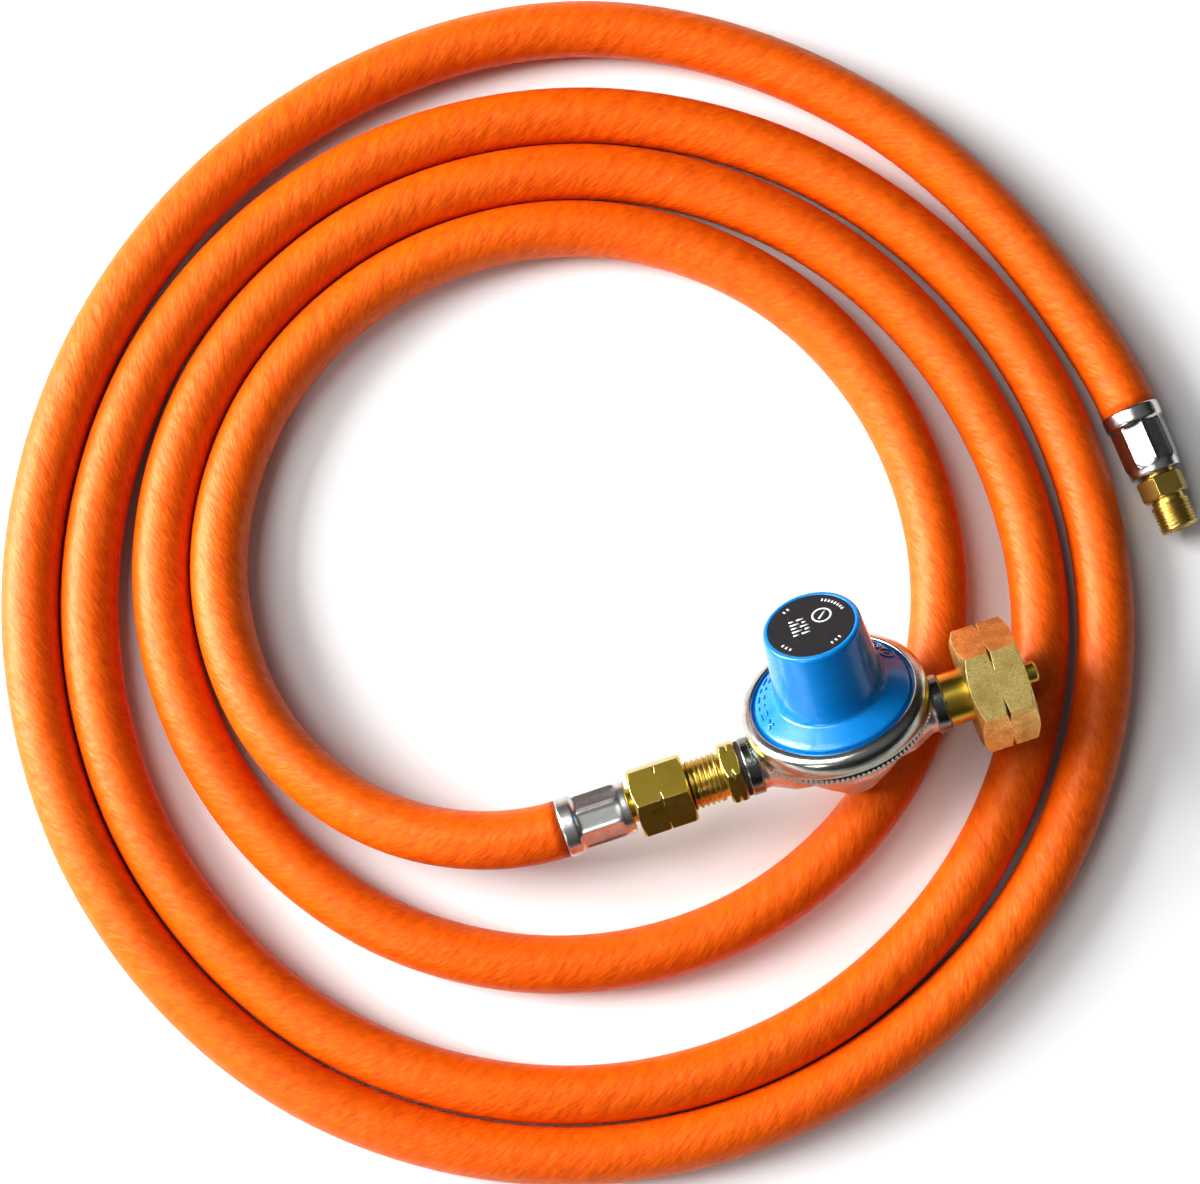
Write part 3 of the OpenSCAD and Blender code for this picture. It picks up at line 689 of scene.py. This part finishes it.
def crimped(r, z, angle):
    """Presses one point of a ferrule, where z runs along it from its hose end."""
    if r < INSIDE_R + 0.3:
        return r, z
    begun = ease(COLLAR_LEN - 0.8, COLLAR_LEN + 0.9, z)
    ended = ease(FERRULE_LEN - 3.6, FERRULE_LEN - 2, z)
    pressed = begun * (1 - ended)
    jaw = 2 * pi / JAWS
    across = (angle % jaw) - jaw / 2
    corner = abs(across) / (jaw / 2)
    flat = CRIMP_R / cos(min(abs(across), jaw / 2 * 0.86))
    ridge = 0.3 * ease(0.7, 1, corner)
    return r + (min(flat + ridge, r + 0.9) - r) * pressed, z


FERRULE_OUTLINE = [
    (INSIDE_R, 0), (COLLAR_R - 0.5, 0), (COLLAR_R, 0.5), (COLLAR_R, COLLAR_LEN - 0.9),
    (CRIMP_R + 0.25, COLLAR_LEN + 0.5), (CRIMP_R + 0.25, FERRULE_LEN - RIM_LEN - 0.8),
    (RIM_R, FERRULE_LEN - RIM_LEN), (RIM_R, FERRULE_LEN), (NECK_R + 0.05, FERRULE_LEN),
    (NECK_R + 0.05, FERRULE_LEN - LIP), (INSIDE_R, FERRULE_LEN - LIP),
]


def ferrule(name, matrix, material, node):
    outline = divided(softened(FERRULE_OUTLINE, 0.4), 0.55)
    bm = spun(outline, 128, crimped)
    return finished(bm, name, matrix @ ALONG_X, material, ROOT, node)


CRIMP_TURN = radians(26)  # how far the near ferrule's flats are turned round the hose
crimp_turn = Matrix.Rotation(CRIMP_TURN, 4, "X")
at_near_ferrule = REGULATOR @ Matrix.Translation((FERRULE_OUT * MM, 0, 0)) @ crimp_turn
ferrule("near_crimped_ferrule", at_near_ferrule, NEAR_STEEL, "ferrule_near")
far_ferrule = ferrule("far_crimped_ferrule", END, FAR_STEEL, "ferrule_far")

# %% [markdown]
# ## Threads
#
# A screw thread is a ridge that climbs one pitch for each turn. The spun fitting has rows of points
# close together along its thread, and each point is cut down to the height of a triangular wave
# that depends on its place along the thread and its angle. That gives a true helix with no seam.

# %% Thread press and hexagons
RIGHT_HAND = 1
LEFT_HAND = -1
CHAMFER = radians(30)
NOTCH = 0.8  # how deep the tool's notch in a hexagon's corners is


def threaded(low, high, outer, depth, pitch, hand):
    """A press that cuts a thread of either hand between two stations."""

    def press(r, z, angle):
        if abs(r - outer) > 0.05 or not low < z < high:
            return r, z
        phase = (z / pitch - hand * angle / (2 * pi)) % 1
        cut = min(1, max(0, abs(2 * phase - 1) * 1.3 - 0.15))
        fade = ease(low, low + pitch, z) * (1 - ease(high - pitch, high, z))
        return r - depth * cut * (0.35 + 0.65 * fade), z

    return press


def hexagon(low, high, across, turn, inside, notch):
    """A hexagon along z, with its ends turned down to a chamfer and its corners notched."""
    corner = across / sqrt(3)
    middle = (low + high) / 2
    face_r = across / 2 - 0.3
    rows = (low, low + 0.3, middle - 0.5, middle, middle + 0.5, high - 0.3, high)
    side = [(corner, z) for z in rows]

    def press(r, z, angle):
        if r < inside + 0.01:
            return r, z
        flat = across / 2 / cos(angle % (pi / 3) - pi / 6)
        chamfer = face_r + min(z - low, high - z) / tan(CHAMFER)
        groove = corner - notch + abs(z - middle) * 1.6
        return min(r, flat, chamfer, groove), z

    bm = spun(divided([(inside, low)] + side + [(inside, high)], 0.25), 120, press)
    bmesh.ops.transform(bm, matrix=Matrix.Rotation(turn, 4, "Z"), verts=bm.verts)
    return bm


def joined(first, *others):
    """Puts several meshes in one."""
    for other in others:
        mesh = bpy.data.meshes.new("part")
        other.to_mesh(mesh)
        other.free()
        first.from_mesh(mesh)
        bpy.data.meshes.remove(mesh)
    return first


# %% The outlet adapter
BOSS_END = -28.5
WASHER = 1
ADAPTER_HEX_LEN = 5
ADAPTER_HEX = (BOSS_END - WASHER - ADAPTER_HEX_LEN, BOSS_END - WASHER)
ADAPTER_AF = 16  # across the flats
THREAD_SHOWN = 10
THREAD_IN_NUT = 8.5
ADAPTER_END = ADAPTER_HEX[0] - THREAD_SHOWN - THREAD_IN_NUT
ADAPTER_R = 7
ADAPTER_CUT = 0.8
ADAPTER_PITCH = 1.5
ADAPTER_BORE = 3.8
SEAT_R = 6
NUT_TURN = LEAN + radians(10)


def corner_up(turn):
    """The turn about z that puts a corner `turn` off the upright, once the piece lies along x."""
    return pi + turn


adapter_outline = [
    (ADAPTER_BORE, ADAPTER_END + SEAT_R - ADAPTER_BORE), (SEAT_R, ADAPTER_END),
    (ADAPTER_R - 0.6, ADAPTER_END), (ADAPTER_R, ADAPTER_END + 0.6),
    (ADAPTER_R, ADAPTER_HEX[0] - 1.2),
    (ADAPTER_R - 0.9, ADAPTER_HEX[0] - 1.0), (ADAPTER_R - 0.9, ADAPTER_HEX[0] + 0.3),
    (ADAPTER_BORE, ADAPTER_HEX[0] + 0.3),
]
adapter_thread = threaded(
    ADAPTER_END + 0.4, ADAPTER_HEX[0] - 1.2, ADAPTER_R, ADAPTER_CUT, ADAPTER_PITCH, LEFT_HAND
)
spigot_outline = [
    (ADAPTER_BORE, ADAPTER_HEX[1] - 0.3), (5, ADAPTER_HEX[1] - 0.3), (5, BOSS_END + 8.5),
    (ADAPTER_BORE, BOSS_END + 8.5),
]
adapter = joined(
    spun(divided(adapter_outline, 0.19), 72, adapter_thread),
    hexagon(*ADAPTER_HEX, ADAPTER_AF, corner_up(NUT_TURN), ADAPTER_BORE, NOTCH),
    spun(divided(spigot_outline, 1), 48),
)
at_adapter = REGULATOR @ ALONG_X
finished(adapter, "threaded_adapter", at_adapter, OUTLET_BRASS, ROOT, "outlet_adapter")

# %% The end fitting
END_HEX = (FERRULE_LEN + 1, FERRULE_LEN + 7.5)
END_THREAD = (END_HEX[1] + 1.6, END_HEX[1] + 9.6)
END_R = 5.5
END_BORE = 3
END_AF = 12  # across the flats
END_HEX_TURN = radians(25)
END_CUT = 0.55
END_PITCH = 1.0
end_outline = [
    (END_BORE, END_HEX[1] - 0.4), (4.7, END_HEX[1] - 0.4), (4.7, END_THREAD[0]),
    (END_R - 0.3, END_THREAD[0]), (END_R, END_THREAD[0] + 0.4), (END_R, END_THREAD[1] - 0.7),
    (END_R - 0.7, END_THREAD[1]), (END_BORE + 0.5, END_THREAD[1]), (END_BORE, END_THREAD[1] - 0.5),
]
barb_outline = [
    (END_BORE, 1), (3.6, 1), (4, 2), (4, FERRULE_LEN - LIP), (NECK_R, FERRULE_LEN - LIP),
    (NECK_R, END_HEX[0] + 0.4), (END_BORE, END_HEX[0] + 0.4),
]
end_thread = threaded(
    END_THREAD[0] + 0.3, END_THREAD[1] - 0.5, END_R, END_CUT, END_PITCH, RIGHT_HAND
)
fitting = joined(
    spun(divided(end_outline, 0.14), 72, end_thread),
    hexagon(*END_HEX, END_AF, corner_up(END_HEX_TURN), END_BORE, 0),
    spun(divided(barb_outline, 1.5), 48),
)
at_end = END @ ALONG_X
end_fitting = finished(fitting, "threaded_end", at_end, END_BRASS, ROOT, "end_fitting")

# %% [markdown]
# ## The rolled band
#
# The band clamps the blue cover and the zinc body together over the diaphragm. It is a strip of
# steel rolled over both rims: a broad rounded shoulder above, a shallow groove in its wall, and
# below that a lip that the roller's teeth have pinched all round.

# %% The band
BAND_R = 25.75
BAND_T = 0.8
SEAL_H = 12
BAND_TOP = SEAL_H + 1.2 + 1.6 + BAND_T
BAND_LOW = SEAL_H - 4.4 - BAND_T - 0.3
LIP_R = BAND_R - 3.4
TEETH = 110
band_outline = [
    (BAND_R - 2.2, BAND_LOW), (BAND_R - 0.5, BAND_LOW + 0.1), (BAND_R, BAND_LOW + 0.6),
    (BAND_R, BAND_LOW + 1.5), (BAND_R - 0.4, BAND_LOW + 2.3), (BAND_R - 0.3, BAND_LOW + 3.2),
    (BAND_R, BAND_LOW + 4.4), (BAND_R, BAND_TOP - 3.0), (BAND_R - 0.35, BAND_TOP - 1.4),
    (BAND_R - 1.3, BAND_TOP - 0.4), (BAND_R - 2.5, BAND_TOP), (LIP_R + 0.4, BAND_TOP),
    (LIP_R, BAND_TOP - 0.3), (LIP_R, BAND_TOP - BAND_T), (BAND_R - 2.3, BAND_TOP - BAND_T),
    (BAND_R - BAND_T, BAND_TOP - 2.2), (BAND_R - BAND_T, BAND_LOW + 1.5),
    (BAND_R - 1.3, BAND_LOW + 1.0), (BAND_R - 2.2, BAND_LOW + 1.0),
]


def pinched(r, z, angle):
    """Presses the roller's teeth into the lower lip."""
    low = 1 - ease(BAND_LOW + 1.2, BAND_LOW + 2.2, z)
    outside = ease(BAND_R - 1.4, BAND_R - 0.6, r)
    tooth = 0.5 + 0.5 * cos(angle * TEETH)
    return r - 0.5 * low * outside * tooth, z


band = spun(divided(softened(band_outline, 0.5), 0.5), TEETH * 6, pinched)
finished(band, "rolled_band", REGULATOR, BAND_STEEL, ROOT, "clamp_ring")

# %% [markdown]
# ## The cover
#
# The cover is one moulding: a sloping flange that ends under the band, and a tapered tower over the
# spring. A narrow groove is left between the slope and the band's lip. Moulded corners are never
# sharp, so the outline is softened before it is spun.

# %% The cover
TOP_H = 41.5
LABEL_R = 11.7
FLANGE_R = BAND_R - BAND_T - 0.1
CONE_FOOT_H = BAND_TOP - BAND_T + 0.1
cover_outline = [
    (18.45, SEAL_H + 1.2), (FLANGE_R, SEAL_H + 1.2), (FLANGE_R, SEAL_H + 1.4),
    (FLANGE_R - 1.4, BAND_TOP - BAND_T - 0.02), (LIP_R - 0.9, BAND_TOP - BAND_T - 0.6),
    (LIP_R - 1.0, CONE_FOOT_H + 0.8), (16.6, CONE_FOOT_H + 3.5), (15.5, CONE_FOOT_H + 4.1),
    (15.15, CONE_FOOT_H + 5.2), (13.3, TOP_H - 0.7), (12.8, TOP_H), (LABEL_R + 0.1, TOP_H),
    (LABEL_R + 0.1, TOP_H - 0.6), (9, TOP_H - 0.6), (9, 33.2), (11, 33.2), (11.8, 19.5), (13, 16.9),
]
cover = spun(divided(softened(cover_outline, 0.55, 4), 1.6), 160)
finished(cover, "moulded_cover", REGULATOR, BLUE, ROOT, "cover")

# %% [markdown]
# ## Marks on the cover and the label
#
# A moulding carries small raised marks: a pair of date dials on one side of the flange, and a flow
# arrow with a few bars on the other. They say nothing here. They are small rounded solids laid on
# the slope. The label has a ring of short bars, flat and printed thin.

# %% Marks
def bar(length, width, height, place):
    """A small rounded bar lying along x, with its foot at z 0."""
    bm = bmesh.new()
    size = Matrix.Diagonal((length, width, height, 1))
    bmesh.ops.create_cube(bm, size=1, matrix=Matrix.Translation((0, 0, height / 2)) @ size)
    bmesh.ops.bevel(
        bm,
        geom=bm.edges,
        offset=min(width, height) * 0.3,
        offset_type="OFFSET",
        segments=2,
        profile=0.5,
        affect="EDGES",
        material=-1,
    )
    bmesh.ops.transform(bm, matrix=place, verts=bm.verts)
    return bm


def raised_ring(radius, width, height, place):
    """A raised ring with its foot at z 0."""
    outline = [
        (radius - width, 0), (radius + width, 0),
        (radius + width * 0.5, height), (radius - width * 0.5, height),
    ]
    bm = spun(outline, 40)
    bmesh.ops.transform(bm, matrix=place, verts=bm.verts)
    return bm


SLOPE_FOOT = (LIP_R - 1.0, CONE_FOOT_H + 0.8)
SLOPE_HEAD = (16.6, CONE_FOOT_H + 3.5)
MARK_SINK = 0.08  # how deep a mark's foot is in the cover
SLOPE = atan((SLOPE_HEAD[1] - SLOPE_FOOT[1]) / (SLOPE_FOOT[0] - SLOPE_HEAD[0]))


def on_flange(angle, radius):
    """Where a mark lies on the sloping flange: x round it, y inwards, z out of it."""
    height = SLOPE_FOOT[1] + (SLOPE_FOOT[0] - radius) * tan(SLOPE) - MARK_SINK
    turn = Matrix.Rotation(radians(angle), 4, "Z")
    place = Matrix.Translation((radius, 0, height))
    tilt = Matrix.Rotation(SLOPE, 4, "Y")
    return turn @ place @ tilt @ Matrix.Rotation(pi / 2, 4, "Z")


marks = []
for angle in (22, 38):
    here = on_flange(angle, 19)
    marks.append(raised_ring(2.1, 0.3, 0.4, here))
    marks.append(bar(1.7, 0.45, 0.4, here @ Matrix.Rotation(radians(50), 4, "Z")))
for angle, length in ((143, 2.6), (153, 1.4), (163, 2.2), (173, 1.2), (183, 2.4)):
    marks.append(bar(length, 0.6, 0.42, on_flange(angle, 20)))
    marks.append(bar(length * 0.7, 0.6, 0.42, on_flange(angle, 18.3)))
for angle, turn in ((195, 35), (195, -35)):
    marks.append(bar(3, 0.7, 0.45, on_flange(angle, 19.2) @ Matrix.Rotation(radians(turn), 4, "Z")))
flange_marks = joined(*marks)
finished(flange_marks, "flange_marks", REGULATOR, BLUE, ROOT)

# %% Label print
LABEL_SUNK = 0.6
LABEL_T = 0.5
LABEL_TOP = TOP_H - LABEL_SUNK + LABEL_T
BAR_RING_R = 9.8
LINE_START = -5.4
LINE_GAP = 0.7
SIGN_AT = (3.6, 2.6)
PRINT_T = 0.05
prints = []


def print_bar(x, y, length, width, turn=0):
    here = Matrix.Translation((x, y, LABEL_TOP - 0.01)) @ Matrix.Rotation(radians(turn), 4, "Z")
    prints.append(bar(length, width, PRINT_T, here))


for angle in (16, 22, 28, 34, 40, 46, 52, 58, 116, 124, 206, 214, 222, 292, 300, 308):
    out = radians(angle)
    print_bar(BAR_RING_R * cos(out), BAR_RING_R * sin(out), 1.0, 0.6, angle)
LINES = (
    (3.6, (1.4, 2.0)), (2.2, (2.6, 1.2)), (0.8, (1.8, 2.4)),
    (-0.6, (2.8, 1.4)), (-2.0, (1.6, 2.4)),
)
for y, lengths in LINES:
    x = LINE_START
    for length in lengths:
        print_bar(x + length / 2, y, length, 0.62)
        x += length + LINE_GAP
here = Matrix.Translation((*SIGN_AT, LABEL_TOP - 0.01))
prints.append(raised_ring(2.5, 0.36, PRINT_T, here))
print_bar(*SIGN_AT, 3.2, 0.6, 45)
finished(joined(*prints), "label_print", REGULATOR, MARK_WHITE, ROOT)

# %% [markdown]
# ## The thread inside the inlet nut
#
# The union nut's mouth is open, so its thread shows from the side. It is a thin sleeve against the
# wall of the nut, cut to a coarse thread, and it turns with the nut.

# %% Thread in the nut
MOUTH_BORE = 10.2
STEM_SHOWN = 6.5
INLET_NUT_LEN = 16
NUT_MOUTH = -BOSS_END + STEM_SHOWN + INLET_NUT_LEN
NUT_PITCH = 1.81
thread_low = NUT_MOUTH - 7.4
sleeve_outline = [
    (MOUTH_BORE + 0.02, thread_low), (MOUTH_BORE + 0.02, NUT_MOUTH - 0.6),
    (MOUTH_BORE - 0.05, NUT_MOUTH - 0.6), (MOUTH_BORE - 0.05, thread_low),
]


def ridges(r, z, angle):
    """Raises a coarse left-hand thread from the sleeve's inner side."""
    if r > MOUTH_BORE:
        return r, z
    phase = (z / NUT_PITCH + angle / (2 * pi)) % 1
    rise = max(0, 1 - abs(2 * phase - 1) * 1.5)
    fade = ease(thread_low, thread_low + 1, z) * (1 - ease(NUT_MOUTH - 1.6, NUT_MOUTH - 0.6, z))
    return r - 0.45 * rise * fade, z


sleeve = spun(divided(sleeve_outline, 0.3), 96, ridges)
finished(sleeve, "inlet_nut_thread", REGULATOR @ ALONG_X, INLET_BRASS, "inlet_nut")

# %% [markdown]
# ## What is on the hose
#
# The hose's real length along its middle is printed. The far ferrule and the end fitting sit on its
# free end.

print("hose declared:", round(hose_length, 3), "m")

# %% [markdown]
# ## Floor and light
#
# The surface is plain and nearly white. The main light is a large soft panel to the view's left,
# low enough that every turn of the hose has a pale side and a dark one. A weaker panel above fills
# the middle, and a small one by the view's foot puts a highlight on the metal and the cover. A sky
# that is bright overhead and darker at the horizon gives the metal its contrast.

# %% Floor
def floor_material():
    paint = Paint("pale_surface", Specular_IOR_Level=0.3)
    cloud = paint.noise(paint.place(), 120, detail=2)
    paint.feed("Base Color", paint.mix(cloud, (0.9, 0.9, 0.9), (0.94, 0.94, 0.94)))
    paint.feed("Roughness", cloud * 0.1 + 0.6)
    return paint.material


SURFACE_HALF = 3  # metres
bm = bmesh.new()
bmesh.ops.create_grid(bm, x_segments=1, y_segments=1, size=SURFACE_HALF)
floor_mesh = bpy.data.meshes.new("surface")
bm.to_mesh(floor_mesh)
bm.free()
surface = link("surface", floor_mesh, floor_material())
print("surface:", surface.dimensions[0], "m square")

# %% Lights
right_way = camera.matrix_world.to_3x3() @ Vector((1, 0, 0))
up_way = camera.matrix_world.to_3x3() @ Vector((0, 1, 0))


def panel(name, across, up, height, size, power, colour=(1, 1, 1)):
    """A soft panel, placed by the view's right and up, in metres, and aimed at the coil."""
    light = bpy.data.lights.new(name, "AREA")
    light.shape = "RECTANGLE"
    light.size, light.size_y = size
    light.energy = power
    light.color = colour
    made = bpy.data.objects.new(name, light)
    bpy.context.scene.collection.objects.link(made)
    place = CAMERA_TARGET + right_way * across + up_way * up
    place.z = height
    made.matrix_world = aim(place, CAMERA_TARGET, Vector((0, 0, 1)))
    return made


panel("main_panel", -2.0, 0.3, 0.85, (1.2, 1.8), 118)
panel("top_panel", -0.8, 0.2, 1.6, (0.9, 0.9), 11)
panel("window", -0.6, -1.0, 0.75, (0.3, 0.45), 3)

HORIZON = (0.35, 0.05)  # a place on the sky's ramp and how bright it is there
OVERHEAD = (0.95, 0.6)
SKY_STRENGTH = 0.28
world = bpy.data.worlds.new("studio")
bpy.context.scene.world = world
world.use_nodes = True
world.node_tree.nodes.clear()
background = world.node_tree.nodes.new("ShaderNodeBackground")
sky_output = world.node_tree.nodes.new("ShaderNodeOutputWorld")
coordinate = world.node_tree.nodes.new("ShaderNodeTexCoord")
separate = world.node_tree.nodes.new("ShaderNodeSeparateXYZ")
ramp = world.node_tree.nodes.new("ShaderNodeValToRGB")
for i, (place, grey) in enumerate((HORIZON, OVERHEAD)):
    ramp.color_ramp.elements[i].position = place
    ramp.color_ramp.elements[i].color = (grey, grey, grey, 1)
for source, target in (
    (coordinate.outputs["Generated"], separate.inputs[0]),
    (separate.outputs[2], ramp.inputs[0]),
    (ramp.outputs[0], background.inputs[0]),
    (background.outputs[0], sky_output.inputs[0]),
):
    world.node_tree.links.new(source, target)
background.inputs[1].default_value = SKY_STRENGTH
bpy.context.scene.view_settings.view_transform = "Standard"
bpy.context.scene.view_settings.look = "Medium High Contrast"
print("lights:", len(bpy.data.lights))
